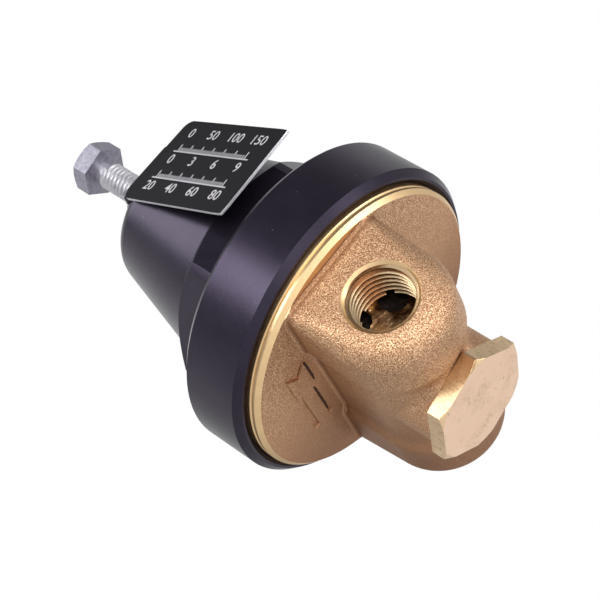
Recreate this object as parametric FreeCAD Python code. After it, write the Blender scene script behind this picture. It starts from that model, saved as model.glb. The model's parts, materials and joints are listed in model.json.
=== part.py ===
import FreeCAD, Part
import math
import os

os.makedirs("parts", exist_ok=True)
V = FreeCAD.Vector

# Direct-acting pressure regulator for 1/4 inch pipe, millimetres.
# The valve axis is Z and points at the adjusting screw. The inlet faces +X and the outlet faces -X.
# Heights count from the port axis, and every piece is moved at the end so that the origin is the
# centre of the inlet port's first full turn, just inside the mouth's chamfer.

# Ports and the cast bosses round them
PORT_SPAN = 51.2
PORT_R = 6.6
PORT_DEPTH = 12.0
PORT_MOUTH = 0.55
BOSS_WALL = 5.7
BOSS_EDGE = 5.0
BOSS_TOP_EDGE = 1.5
WAIST_PROUD = 0.6
WAIST_INSET = 0.8
WAIST_SLOPE = 4.0
WAIST_CREST_R = 2.4
FLANGE_BLEND = 0.8

# Neck that takes the bottom plug
CHAMBER_R = 8.2
NECK_WALL = 2.3
NECK_DROP = 0.7
NECK_BLEND = 2.5

# Flange that the bonnet screws over
FLANGE_FACE = 12.3
FLANGE_R = 28.86
FLANGE_CHAMFER = 0.83
FLANGE_THICKNESS = 9.2
RELIEF_WIDTH = 0.6
RELIEF_DEPTH = 0.35
SENSING_R = 20.0
SENSING_DEPTH = 4.5
THROAT_R = 5.0
CHAMBER_TOP = 5.5

# Cored passages: two from the inlet down to the lower chamber, one from the throat to the outlet
WIDE_CORE_R = 2.5
WIDE_CORE_SHIFT = 1.6
NARROW_CORE_R = 1.5
CORE_DROP = 3.6
OUTLET_CORE_R = 2.6

# Raised flow arrow with a notched tail on the flange face
ARROW_TIP = 12.4
ARROW_TAIL = 11.2
ARROW_SHAFT = 2.8
ARROW_HEAD = 5.0
ARROW_HEAD_LENGTH = 4.7
ARROW_TAIL_WIDTH = 4.7
ARROW_TAIL_LENGTH = 7.5
ARROW_NOTCH = 2.1
ARROW_OFFSET = 16.4
ARROW_RISE = 0.5

# Bottom plug, its gasket and the inlet screen
PLUG_FLATS = 20.97
PLUG_HEAD = 3.4
PLUG_FACE_BREAK = 1.15
PLUG_TURN = 13.5
PLUG_FLOOR = 3.7
PLUG_GASKET_T = 0.8
PLUG_GASKET_WIDTH = 1.2
SCREEN_T = 0.3
SCREEN_GAP = 0.5
SCREEN_HOLE_R = 0.8
SCREEN_HOLES = 10
SCREEN_ROWS = 2

# Seat cylinder and the valve that closes against it
SEAT_FLANGE = 2.0
SEAT_SKIRT_R = 6.5
SEAT_SKIRT = 8.0
SEAT_BORE_R = 4.6
SEAT_ROOF = 1.6
ORIFICE_R = 2.2
SEAT_LIP = 0.9
SEAT_LIP_WALL = 0.6
SEAT_WINDOWS = 4
SEAT_WINDOW = 3.4
CYLINDER_GASKET_T = 0.5
PISTON_LENGTH = 7.1
VALVE_TRAVEL = 1.2
STOP_GAP = 0.18
DISC_R = 3.2
DISC_T = 1.8
DISC_RIM = 1.0
DISC_SCREW_R = 1.0
DISC_SCREW_LENGTH = 3.6
DISC_SCREW_HEAD_R = 1.9
DISC_SCREW_HEAD = 0.6
PISTON_SPRING_WIRE = 0.8
PISTON_SPRING_R = 2.6
PISTON_SPRING_TURNS = 6
PISTON_SPRING_POCKET = 3.0
WIRE_SIDES = 10

# Diaphragm stack
DIAPHRAGM_INSET = 1.36
DIAPHRAGM_T = 0.6
DIAPHRAGM_GASKET_T = 0.5
SLIP_RING_T = 2.0
POST_STEM_R = 1.3
POST_SHOULDER_R = 5.4
POST_SHOULDER = 1.0
POST_THREAD_R = 2.5
DIAPHRAGM_WASHER_R = 10.0
DIAPHRAGM_WASHER_T = 1.2
PLATE_R = 15.0
PLATE_T = 2.8
PLATE_PILOT = 2.6
DIAPHRAGM_NUT_FLATS = 8.0
DIAPHRAGM_NUT = 3.2
POST_END = 1.6

# Bonnet: ring, wrench hexagon and tapered spring housing turned from one bar
RING_GAP = 2.3
RING_WALL = 2.69
RING_LENGTH = 14.1
RING_CHAMFER = 1.3
RING_BACK_BREAK = 0.3
RING_MOUTH = 1.0
HEX_FLATS = 44.4
HEX_CORNER_BREAK = 0.53
HEX_HEIGHT = 11.15
HEX_TOP_CHAMFER = 2.95
HEX_TOP_BREAK = 0.8
HEX_TURN = 30.5
CONE_STEP = 0.06
CONE_HEIGHT = 25.15
CONE_TAPER = 0.275
CONE_EDGE_R = 4.2
BONNET_WALL = 3.3
BONNET_ROOF = 5.4
VENT_R = 0.8
VENT_HEIGHT = 6.0
VENT_TURN = 150.0

# Range spring and the button that the adjusting screw presses
RANGE_WIRE = 2.8
RANGE_R = 9.2
RANGE_TURNS = 5.5
PILOT_FIT = 0.8
BUTTON_T = 5.0
BUTTON_PILOT = 3.5
BUTTON_DIMPLE = 1.2

# Adjusting screw, lock nut and washer
SCREW_R = 3.0
SCREW_LENGTH = 30.0
SCREW_STANDOUT = 19.0
SCREW_TIP = 0.8
SCREW_HEAD_FLATS = 10.0
SCREW_HEAD = 4.0
SCREW_TURN = 20.0
NUT_HEIGHT = 5.0
NUT_FLATS = 10.0
NUT_TURN = 8.0
WASHER_T = 1.0
WASHER_R = 6.0

# Bent label plate held under the washer
LABEL_T = 0.6
LABEL_WIDTH = 20.6
LABEL_LENGTH = 35.0
LABEL_TILT = 26.0
LABEL_TURN = 2.0
LABEL_SKEW = -4.2
LABEL_OFFSET = 3.4
LABEL_SETBACK = 0.22
LABEL_CORNER = 2.2
TAB_WIDTH = 13.0
BEND_R = 1.4

# Clearances between pieces, radial or face to face
THREAD_FIT = 0.05
SLIDE_FIT = 0.05
EASY_FIT = 0.10
SEAT_FIT = 0.02
POCKET_FIT = 0.3
CUT_PAST = 1.0

# The bosses, neck and waist between them, which the heights below stand on
boss_r = PORT_R + BOSS_WALL
neck_r = CHAMBER_R + NECK_WALL
waist_r = neck_r + WAIST_PROUD
waist_half = neck_r - WAIST_INSET
waist_turn = 2 * math.atan((boss_r - waist_r) / WAIST_SLOPE)
valley_r = WAIST_SLOPE / math.sin(waist_turn) - WAIST_CREST_R
neck_blend = min(NECK_BLEND, 0.6 * valley_r)
neck_bottom = waist_r + NECK_DROP

# Heights that follow from the sizes above
body_top = FLANGE_FACE + FLANGE_THICKNESS
diaphragm_z = body_top + DIAPHRAGM_GASKET_T
plate_z = diaphragm_z + DIAPHRAGM_T
shoulder_z = plate_z + SLIP_RING_T
ring_z = FLANGE_FACE + RING_GAP
hex_z = ring_z + RING_LENGTH
cone_z = hex_z + HEX_HEIGHT
bonnet_top = cone_z + CONE_HEIGHT
roof_z = bonnet_top - BONNET_ROOF
washer_z = bonnet_top + LABEL_T
nut_z = washer_z + WASHER_T
screw_head_z = bonnet_top + SCREW_STANDOUT
screw_tip_z = screw_head_z - SCREW_LENGTH
button_top = screw_tip_z - SEAT_FIT + BUTTON_DIMPLE
button_z = button_top - BUTTON_T
spring_seat_z = plate_z + PLATE_T
seat_top = CHAMBER_TOP - CYLINDER_GASKET_T
seat_flange_z = seat_top - SEAT_FLANGE
seat_roof_z = seat_top - SEAT_ROOF
lip_z = seat_roof_z - SEAT_LIP
disc_top = lip_z - SEAT_FIT
disc_z = disc_top - DISC_T
piston_top = disc_z + DISC_RIM
piston_z = piston_top - PISTON_LENGTH
plug_top = piston_z - VALVE_TRAVEL - STOP_GAP
piston_pocket_top = piston_z + PISTON_SPRING_POCKET
spring_floor_z = -neck_bottom - PLUG_HEAD + PLUG_FLOOR
post_z = disc_top + DISC_SCREW_HEAD
post_shoulder_z = diaphragm_z - DIAPHRAGM_WASHER_T
pilot_top = spring_seat_z + PLATE_PILOT
nut_top = pilot_top + DIAPHRAGM_NUT

# Radii that follow from the sizes above
port_face_x = PORT_SPAN / 2
port_floor_x = port_face_x - PORT_DEPTH
thread_x = port_face_x - PORT_MOUTH
casting_reach = max(FLANGE_R, math.hypot(port_face_x, boss_r)) + FLANGE_BLEND + CUT_PAST
plug_corner_r = PLUG_FLATS / 2 / math.cos(math.radians(30))
piston_spring_r = PISTON_SPRING_R + PISTON_SPRING_WIRE / 2
diaphragm_r = FLANGE_R - DIAPHRAGM_INSET
pilot_r = RANGE_R - RANGE_WIRE / 2 - PILOT_FIT
button_r = RANGE_R + RANGE_WIRE / 2
ring_r = FLANGE_R + THREAD_FIT + RING_WALL
hex_corner_r = HEX_FLATS / 2 / math.cos(math.radians(30)) - HEX_CORNER_BREAK
hex_top_r = HEX_FLATS / 2 - HEX_TOP_BREAK
cone_base_r = hex_top_r - CONE_STEP
cone_top_r = cone_base_r - CONE_TAPER * CONE_HEIGHT
label_reach = cone_top_r - LABEL_SETBACK


def disc(radius, low, high):
    return Part.makeCylinder(radius, high - low, V(0, 0, low))


def ring(outer, inner, low, high):
    return disc(outer, low, high).cut(disc(inner, low, high))


def rod(radius, start, end):
    path = end - start
    return Part.makeCylinder(radius, path.Length, start, path)


def revolved(points):
    corners = [V(r, 0, z) for r, z in points]
    outline = Part.makePolygon(corners + corners[:1])
    return Part.Face(outline).revolve(V(0, 0, 0), V(0, 0, 1), 360)


def prism(corners, depth):
    return Part.Face(Part.makePolygon(corners + corners[:1])).extrude(depth)


def hexagon(flats, low, high, turn):
    reach = flats / 2 / math.cos(math.radians(30))
    angles = [math.radians(turn + 60 * k) for k in range(6)]
    corners = [V(reach * math.cos(a), reach * math.sin(a), low) for a in angles]
    return prism(corners, V(0, 0, high - low))


def turned_hexagon(flats, low, high, turn, chamfer_low, chamfer_high):
    """A hexagon whose corners a lathe tool has bevelled at 30 degrees at one end or both."""
    corner_r = flats / 2 / math.cos(math.radians(30))
    face_r = flats / 2 * 0.985
    drop = (corner_r - face_r) * math.tan(math.radians(30))
    points = [(0, low), (face_r if chamfer_low else corner_r, low)]
    points += [(corner_r, low + drop), (corner_r, high - drop)] if chamfer_low else [(corner_r, high - drop)]
    points += [(face_r if chamfer_high else corner_r, high), (0, high)]
    return hexagon(flats, low, high, turn).common(revolved(points))


def arc(start, centre, end):
    """Circular edge from start to end, the short way round the centre."""
    middle = (start + end) * 0.5 - centre
    middle.normalize()
    return Part.Arc(start, centre + middle * (start - centre).Length, end).toShape()


def boss_side(edge_r, z, side):
    """One side of the port bosses seen along Z: rounded ends, a land, and the slope to the waist."""
    land = waist_half + WAIST_SLOPE

    def at(x, y):
        return V(x * side, y, z)

    knee = at(land - WAIST_CREST_R * math.sin(waist_turn), boss_r - WAIST_CREST_R * (1 - math.cos(waist_turn)))
    edges = [
        arc(at(port_face_x, boss_r - edge_r), at(port_face_x - edge_r, boss_r - edge_r),
            at(port_face_x - edge_r, boss_r)),
        Part.LineSegment(at(port_face_x - edge_r, boss_r), at(land, boss_r)).toShape(),
        arc(at(land, boss_r), at(land, boss_r - WAIST_CREST_R), knee),
        arc(knee, at(waist_half, waist_r + valley_r), at(waist_half, waist_r)),
    ]
    return edges if side == 1 else edges[::-1]


def boss_edge(edge_r, z):
    """Both bosses' sides with the waist between them, from one port face to the other."""
    waist = Part.LineSegment(V(waist_half, waist_r, z), V(-waist_half, waist_r, z)).toShape()
    return boss_side(edge_r, z, 1) + [waist] + boss_side(edge_r, z, -1)


def boss_outline(edge_r, z):
    """Closed outline of the bosses on both sides of the port axis at one height."""
    near = boss_edge(edge_r, z)
    far = [e.mirror(V(0, 0, 0), V(0, 1, 0)) for e in near]
    reach = boss_r - edge_r
    ends = [Part.LineSegment(V(x, -reach, z), V(x, reach, z)).toShape() for x in (port_face_x, -port_face_x)]
    return Part.Wire(Part.__sortEdges__(near + far + ends))


def boss_bar():
    """The two bosses with their waist: turned about the port axis below it, straight sided above."""
    ends = [Part.LineSegment(V(x, 0, 0), V(x, boss_r - BOSS_EDGE, 0)).toShape() for x in (port_face_x, -port_face_x)]
    axis = Part.LineSegment(V(-port_face_x, 0, 0), V(port_face_x, 0, 0)).toShape()
    half = Part.Face(Part.Wire(Part.__sortEdges__(boss_edge(BOSS_EDGE, 0) + ends + [axis])))
    lower = half.revolve(V(0, 0, 0), V(-1, 0, 0), 180)
    top = FLANGE_FACE + CUT_PAST
    upper = Part.makeLoft([boss_outline(BOSS_EDGE, 0), boss_outline(BOSS_TOP_EDGE, top)], True, True)
    return lower.fuse(upper)


def flow_arrow():
    """Raised arrow, cast on the flange face beside the bosses, that points at the outlet."""
    head_x = ARROW_HEAD_LENGTH - ARROW_TIP
    tail_x = ARROW_TAIL - ARROW_TAIL_LENGTH
    side = [(head_x, ARROW_HEAD / 2), (head_x, ARROW_SHAFT / 2), (tail_x, ARROW_SHAFT / 2),
            (tail_x, ARROW_TAIL_WIDTH / 2), (ARROW_TAIL, ARROW_TAIL_WIDTH / 2)]
    outline = [(-ARROW_TIP, 0)] + side + [(ARROW_TAIL - ARROW_NOTCH, 0)]
    outline += [(x, -y) for x, y in reversed(side)]
    corners = [V(x, y - ARROW_OFFSET, FLANGE_FACE - ARROW_RISE) for x, y in outline]
    return prism(corners, V(0, 0, ARROW_RISE + CUT_PAST))


def turned_rim():
    """What the lathe leaves: the flange's bevel, the relief groove where the bonnet's thread begins,
    and a short straight cut below the flange that only the bosses' corners reach."""
    bevel_r = FLANGE_R - FLANGE_CHAMFER
    below = FLANGE_FACE - FLANGE_BLEND
    groove_top = ring_z - RELIEF_WIDTH / 2
    groove_low = groove_top - RELIEF_WIDTH
    return revolved([
        (0, -boss_r - CUT_PAST), (casting_reach, -boss_r - CUT_PAST), (casting_reach, below), (bevel_r, below),
        (bevel_r, FLANGE_FACE), (FLANGE_R, FLANGE_FACE + FLANGE_CHAMFER), (FLANGE_R, groove_low),
        (FLANGE_R - RELIEF_DEPTH, (groove_low + groove_top) / 2), (FLANGE_R, groove_top),
        (FLANGE_R, body_top), (0, body_top)])


def runs_into_neck(edge):
    """Whether an edge is the curve in which the bosses meet the neck."""
    first, last = edge.ParameterRange
    points = [edge.valueAt(first + (last - first) * k / 6) for k in range(7)]
    on_neck = all(abs(math.hypot(p.x, p.y) - neck_r) < SEAT_FIT for p in points)
    heights = [p.z for p in points]
    curved = not isinstance(edge.Curve, Part.Line)
    return on_neck and curved and max(heights) - min(heights) > SEAT_FIT


def meets_flange(edge):
    """Whether an edge is where the bosses meet the flange's face."""
    box = edge.BoundBox
    middle = edge.valueAt(sum(edge.ParameterRange) / 2)
    inside = math.hypot(middle.x, middle.y) < casting_reach - SEAT_FIT
    return inside and box.ZLength < SEAT_FIT and abs(box.ZMin - FLANGE_FACE) < SEAT_FIT


def casting():
    """Bosses, neck and flange with the mould's blends, as the lathe has trimmed them."""
    neck = disc(neck_r, -neck_bottom, FLANGE_FACE)
    bar = boss_bar().fuse(neck).removeSplitter()
    bar = bar.makeFillet(neck_blend, [e for e in bar.Edges if runs_into_neck(e)])
    whole = disc(casting_reach, FLANGE_FACE, body_top).fuse(bar)
    whole = whole.makeFillet(FLANGE_BLEND, [e for e in whole.Edges if meets_flange(e)])
    return whole.common(turned_rim()).fuse(flow_arrow())


def port_tool(side):
    """Threaded port, taken at its root radius, with the chamfer at its mouth."""
    bore = revolved([(0, port_floor_x), (PORT_R, port_floor_x), (PORT_R, thread_x),
                     (PORT_R + 2 * PORT_MOUTH, port_face_x + PORT_MOUTH), (0, port_face_x + PORT_MOUTH)])
    return bore.rotated(V(0, 0, 0), V(0, 1, 0), 90 * side)


def passages():
    """Ragged cores from the inlet's floor to the lower chamber and one from the throat to the outlet."""
    inside_x = CHAMBER_R - WIDE_CORE_R
    mouth_x = port_floor_x + WIDE_CORE_R
    wide_z = PORT_R - WIDE_CORE_R
    narrow_z = PORT_R - NARROW_CORE_R
    wide_y = PORT_R / 2
    narrow_y = -PORT_R / 3
    cores = []
    for shift in (-WIDE_CORE_SHIFT, 0, WIDE_CORE_SHIFT):
        radius = WIDE_CORE_R - abs(shift) / 3
        cores.append(rod(radius, V(mouth_x, wide_y + shift, wide_z - shift / 3),
                         V(inside_x, wide_y / 2 + shift / 2, wide_z - CORE_DROP)))
    cores.append(rod(NARROW_CORE_R, V(mouth_x, narrow_y, narrow_z), V(inside_x, narrow_y, narrow_z - CORE_DROP)))
    cores.append(rod(OUTLET_CORE_R, V(-port_floor_x - OUTLET_CORE_R, 0, PORT_R - OUTLET_CORE_R / 2),
                     V(-THROAT_R / 2, 0, CHAMBER_TOP + 3 * OUTLET_CORE_R)))
    return cores


def body():
    gasket_r = CHAMBER_R + PLUG_GASKET_WIDTH + EASY_FIT
    cavities = [
        disc(CHAMBER_R, -neck_bottom, CHAMBER_TOP),
        disc(gasket_r, -neck_bottom, -neck_bottom + PLUG_GASKET_T),
        disc(THROAT_R, CHAMBER_TOP, body_top),
        disc(SENSING_R, body_top - SENSING_DEPTH, body_top),
        port_tool(1),
        port_tool(-1),
    ]
    return casting().cut(cavities + passages())


def bottom_plug():
    """Hexagon-headed plug whose hollow shank holds the piston spring."""
    face_z = -neck_bottom - PLUG_HEAD
    bevel = PLUG_FACE_BREAK * math.tan(math.radians(30))
    turned = revolved([(0, face_z), (plug_corner_r - PLUG_FACE_BREAK, face_z), (plug_corner_r, face_z + bevel),
                       (plug_corner_r, -neck_bottom), (0, -neck_bottom)])
    head = hexagon(PLUG_FLATS, face_z, -neck_bottom, PLUG_TURN).common(turned)
    shank = disc(CHAMBER_R - THREAD_FIT, -neck_bottom, plug_top)
    return head.fuse(shank).cut(disc(piston_spring_r + 2 * POCKET_FIT, spring_floor_z, plug_top))


def plug_gasket():
    low = -neck_bottom
    return ring(CHAMBER_R + PLUG_GASKET_WIDTH, CHAMBER_R, low, low + PLUG_GASKET_T)


def inlet_screen():
    """Perforated sleeve between the plug and the seat cylinder."""
    outer = CHAMBER_R - SCREEN_GAP
    sleeve = ring(outer, outer - SCREEN_T, plug_top, seat_flange_z)
    pitch = (seat_flange_z - plug_top) / (SCREEN_ROWS + 1)
    holes = []
    for row in range(SCREEN_ROWS):
        height = V(0, 0, plug_top + pitch * (row + 1))
        for k in range(SCREEN_HOLES):
            turn = 2 * math.pi * (k + row % 2 / 2) / SCREEN_HOLES
            aim = V(math.cos(turn), math.sin(turn), 0)
            holes.append(rod(SCREEN_HOLE_R, aim * (outer - 2 * SCREEN_T) + height, aim * (outer + SCREEN_T) + height))
    return sleeve.cut(holes)


def seat_cylinder():
    """Guide for the piston, with the raised seat round its orifice and windows beside the seat."""
    skirt_z = seat_flange_z - SEAT_SKIRT
    lip_r = ORIFICE_R + SEAT_LIP_WALL
    shape = revolved([
        (SEAT_BORE_R, skirt_z), (SEAT_SKIRT_R, skirt_z), (SEAT_SKIRT_R, seat_flange_z),
        (CHAMBER_R - EASY_FIT, seat_flange_z), (CHAMBER_R - EASY_FIT, seat_top),
        (ORIFICE_R, seat_top), (ORIFICE_R, lip_z), (lip_r, lip_z), (lip_r, seat_roof_z),
        (SEAT_BORE_R, seat_roof_z)])
    height = seat_flange_z - piston_top
    for k in range(SEAT_WINDOWS):
        window = Part.makeBox(SEAT_SKIRT_R, SEAT_WINDOW, height, V(lip_r, -SEAT_WINDOW / 2, piston_top))
        turn = 45 + 360 * k / SEAT_WINDOWS
        shape = shape.cut(window.rotated(V(0, 0, 0), V(0, 0, 1), turn))
    return shape


def cylinder_gasket():
    return ring(CHAMBER_R - EASY_FIT, THROAT_R + EASY_FIT, seat_top, CHAMBER_TOP)


def piston():
    """Valve piston: a recess for the seat disc above and a pocket for its spring below."""
    radius = SEAT_BORE_R - SLIDE_FIT
    shape = disc(radius, piston_z, piston_top)
    recess = disc(DISC_R + EASY_FIT, disc_z, piston_top)
    pocket = disc(piston_spring_r + POCKET_FIT, piston_z, piston_pocket_top)
    hole = disc(DISC_SCREW_R, disc_top - DISC_SCREW_LENGTH, piston_top)
    return shape.cut([recess, pocket, hole])


def seat_disc():
    return ring(DISC_R, DISC_SCREW_R, disc_z, disc_top)


def seat_disc_screw():
    shank = disc(DISC_SCREW_R, disc_top - DISC_SCREW_LENGTH, disc_top)
    return shank.fuse(disc(DISC_SCREW_HEAD_R, disc_top, post_z))


def coil(wire, radius, turns, low, high):
    """Compression spring with ground ends: a helix longer than the space, cut flat at both ends.

    The wire is a polygon in section, which keeps the spring light.
    """
    pitch = (high - low) / turns
    start = low - pitch / 4
    length = high - low + pitch / 2
    path = Part.makeHelix(pitch, length, radius)
    path.translate(V(0, 0, start))
    angles = [2 * math.pi * k / WIRE_SIDES for k in range(WIRE_SIDES)]
    corners = [V(radius + wire / 2 * math.cos(a), 0, start + wire / 2 * math.sin(a)) for a in angles]
    section = Part.makePolygon(corners + corners[:1])
    wound = Part.Wire(path.Edges).makePipeShell([section], True, True)
    return wound.common(disc(radius + wire, low, high))


def piston_spring():
    return coil(PISTON_SPRING_WIRE, PISTON_SPRING_R, PISTON_SPRING_TURNS, spring_floor_z, piston_pocket_top)


def pusher_post():
    """Post that carries the diaphragm stack and pushes the valve open through the orifice."""
    return revolved([
        (0, post_z), (POST_STEM_R, post_z), (POST_STEM_R, post_shoulder_z - POST_SHOULDER),
        (POST_SHOULDER_R, post_shoulder_z - POST_SHOULDER), (POST_SHOULDER_R, post_shoulder_z),
        (POST_THREAD_R, post_shoulder_z), (POST_THREAD_R, nut_top + POST_END), (0, nut_top + POST_END)])


def diaphragm_washer():
    return ring(DIAPHRAGM_WASHER_R, POST_THREAD_R + THREAD_FIT, post_shoulder_z, diaphragm_z)


def diaphragm_gasket():
    return ring(diaphragm_r, SENSING_R + POCKET_FIT, body_top, diaphragm_z)


def diaphragm():
    return ring(diaphragm_r, POST_THREAD_R + THREAD_FIT, diaphragm_z, plate_z)


def slip_ring():
    return ring(diaphragm_r, SENSING_R, plate_z, shoulder_z)


def pressure_plate():
    """Plate that spreads the range spring's load, with a pilot that centres the spring."""
    lead = PILOT_FIT / 2
    return revolved([
        (POST_THREAD_R + THREAD_FIT, plate_z), (PLATE_R - lead, plate_z), (PLATE_R, plate_z + lead),
        (PLATE_R, spring_seat_z), (pilot_r, spring_seat_z), (pilot_r, pilot_top - lead),
        (pilot_r - lead, pilot_top), (POST_THREAD_R + THREAD_FIT, pilot_top)])


def diaphragm_nut():
    nut = turned_hexagon(DIAPHRAGM_NUT_FLATS, pilot_top, nut_top, 0, False, True)
    return nut.cut(disc(POST_THREAD_R + THREAD_FIT, pilot_top, nut_top))


def bonnet_ring():
    inner = FLANGE_R + THREAD_FIT
    return revolved([
        (inner, ring_z + RING_MOUTH), (inner + RING_MOUTH, ring_z), (ring_r - RING_BACK_BREAK, ring_z),
        (ring_r, ring_z + RING_BACK_BREAK),
        (ring_r, hex_z - RING_CHAMFER), (ring_r - RING_CHAMFER, hex_z), (0, hex_z),
        (0, shoulder_z), (inner, shoulder_z)])


def bonnet_hexagon():
    turned = revolved([
        (0, hex_z), (hex_corner_r, hex_z), (hex_corner_r, cone_z - HEX_TOP_CHAMFER),
        (hex_top_r, cone_z), (0, cone_z)])
    return hexagon(HEX_FLATS, hex_z, cone_z, HEX_TURN).common(turned)


def cone_radius(z):
    return cone_base_r - CONE_TAPER * (z - cone_z)


def bonnet_cone():
    """Tapered spring housing with its rounded crown."""
    cone = revolved([(0, cone_z), (cone_base_r, cone_z), (cone_top_r, bonnet_top), (0, bonnet_top)])
    crown = [e for e in cone.Edges if e.BoundBox.ZMin > bonnet_top - 0.001 and e.BoundBox.XLength > 1]
    return cone.makeFillet(CONE_EDGE_R, crown)


def bonnet_hollow():
    """Straight spring chamber that tapers with the outside, and the tapped hole in the roof."""
    low_r = cone_base_r - BONNET_WALL
    inner = revolved([(0, shoulder_z), (low_r, shoulder_z), (low_r, cone_z),
                      (cone_radius(roof_z) - BONNET_WALL, roof_z), (0, roof_z)])
    return inner.fuse(disc(SCREW_R + THREAD_FIT, roof_z, bonnet_top))


def bonnet():
    vent_z = cone_z + VENT_HEIGHT
    turn = math.radians(VENT_TURN)
    aim = V(math.cos(turn), math.sin(turn), 0)
    vent = rod(VENT_R, aim * (cone_radius(vent_z) - 2 * BONNET_WALL) + V(0, 0, vent_z),
               aim * (cone_base_r + CUT_PAST) + V(0, 0, vent_z))
    shape = bonnet_ring().fuse([bonnet_hexagon(), bonnet_cone()]).removeSplitter()
    return shape.cut([bonnet_hollow(), vent])


def range_spring():
    return coil(RANGE_WIRE, RANGE_R, RANGE_TURNS, spring_seat_z, button_z)


def spring_button():
    """Upper spring seat with a cone dimple for the screw's tip."""
    crown = BUTTON_T / 2
    tip_r = SCREW_R + THREAD_FIT
    return revolved([
        (0, button_z - BUTTON_PILOT), (pilot_r, button_z - BUTTON_PILOT), (pilot_r, button_z),
        (button_r, button_z), (button_r, button_z + crown), (button_r - crown, button_top),
        (tip_r, button_top), (tip_r - SCREW_TIP, button_top - BUTTON_DIMPLE), (0, button_top - BUTTON_DIMPLE)])


def adjusting_screw():
    """Hexagon-headed set screw with a bevelled tip."""
    shank = revolved([(0, screw_tip_z), (SCREW_R - SCREW_TIP - THREAD_FIT, screw_tip_z),
                      (SCREW_R, screw_tip_z + BUTTON_DIMPLE), (SCREW_R, screw_head_z), (0, screw_head_z)])
    head = turned_hexagon(SCREW_HEAD_FLATS, screw_head_z, screw_head_z + SCREW_HEAD, SCREW_TURN, False, True)
    return shank.fuse(head)


def lock_washer():
    return ring(WASHER_R, SCREW_R + 2 * EASY_FIT, washer_z, nut_z)


def lock_nut():
    nut = turned_hexagon(NUT_FLATS, nut_z, nut_z + NUT_HEIGHT, NUT_TURN, True, True)
    return nut.cut(disc(SCREW_R + THREAD_FIT, nut_z, nut_z + NUT_HEIGHT))


def label_tab():
    """Flat tab under the washer and the bend, as one strip extruded across its width."""
    tilt = math.radians(90 - LABEL_TILT)
    top = bonnet_top + LABEL_T
    inner_r = BEND_R - LABEL_T
    centre = V(label_reach - BEND_R * math.tan(tilt / 2), 0, top - BEND_R)

    def on_bend(radius, angle):
        return centre + V(radius * math.sin(angle), 0, radius * math.cos(angle))

    back = -WASHER_R
    edges = [
        Part.LineSegment(V(back, 0, top), on_bend(BEND_R, 0)).toShape(),
        Part.Arc(on_bend(BEND_R, 0), on_bend(BEND_R, tilt / 2), on_bend(BEND_R, tilt)).toShape(),
        Part.LineSegment(on_bend(BEND_R, tilt), on_bend(inner_r, tilt)).toShape(),
        Part.Arc(on_bend(inner_r, tilt), on_bend(inner_r, tilt / 2), on_bend(inner_r, 0)).toShape(),
        Part.LineSegment(on_bend(inner_r, 0), V(back, 0, bonnet_top)).toShape(),
        Part.LineSegment(V(back, 0, bonnet_top), V(back, 0, top)).toShape(),
    ]
    strip = Part.Face(Part.Wire(edges)).extrude(V(0, TAB_WIDTH, 0))
    strip.translate(V(0, -TAB_WIDTH / 2, 0))
    end_edges = [e for e in strip.Edges
                 if e.BoundBox.XMax < back + 0.001 and e.BoundBox.ZLength > LABEL_T / 2]
    strip = strip.makeFillet(TAB_WIDTH / 3, end_edges)
    return strip.cut(disc(SCREW_R + 2 * EASY_FIT, bonnet_top, top))


def label_face():
    """The plate itself, drawn flat with its sides skewed and then tilted about the bend."""
    skew = math.radians(LABEL_SKEW)
    along = V(math.cos(skew), -math.sin(skew), 0)
    across = V(math.sin(skew), math.cos(skew), 0)
    start = BEND_R * math.tan(math.radians(90 - LABEL_TILT) / 2)
    middle = V(0, LABEL_OFFSET, 0)
    half = LABEL_WIDTH / 2
    far = middle + along * LABEL_LENGTH
    corners = [middle + V(start, -half, 0), far - across * half, far + across * half, middle + V(start, half, 0)]
    plate = prism(corners, V(0, 0, -LABEL_T))
    uprights = [e for e in plate.Edges if e.BoundBox.ZLength > LABEL_T / 2]
    plate = plate.makeFillet(LABEL_CORNER, uprights)
    plate = plate.rotated(V(0, 0, 0), V(0, 1, 0), 90 - LABEL_TILT)
    plate.translate(V(label_reach, 0, bonnet_top + LABEL_T))
    return plate


def label_plate():
    shape = label_tab().fuse(label_face()).removeSplitter()
    return shape.rotated(V(0, 0, 0), V(0, 0, 1), LABEL_TURN)


PIECES = [
    body, bottom_plug, plug_gasket, inlet_screen, seat_cylinder, cylinder_gasket, piston, seat_disc,
    seat_disc_screw, piston_spring, pusher_post, diaphragm_washer, diaphragm, diaphragm_gasket,
    slip_ring, pressure_plate, diaphragm_nut, range_spring, spring_button, bonnet, label_plate,
    lock_washer, lock_nut, adjusting_screw,
]

for piece in PIECES:
    shape = piece()
    shape.translate(V(-thread_x, 0, 0))
    box = shape.BoundBox
    print(f"{piece.__name__:18s} solids {len(shape.Solids)} valid {shape.isValid()} volume {shape.Volume:9.2f}"
          f" z {box.ZMin:7.2f} {box.ZMax:7.2f} faces {len(shape.Faces)}")
    shape.exportStep(f"parts/{piece.__name__}.step")
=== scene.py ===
import json
import math

import bpy
from mathutils import Matrix, Vector

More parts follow.
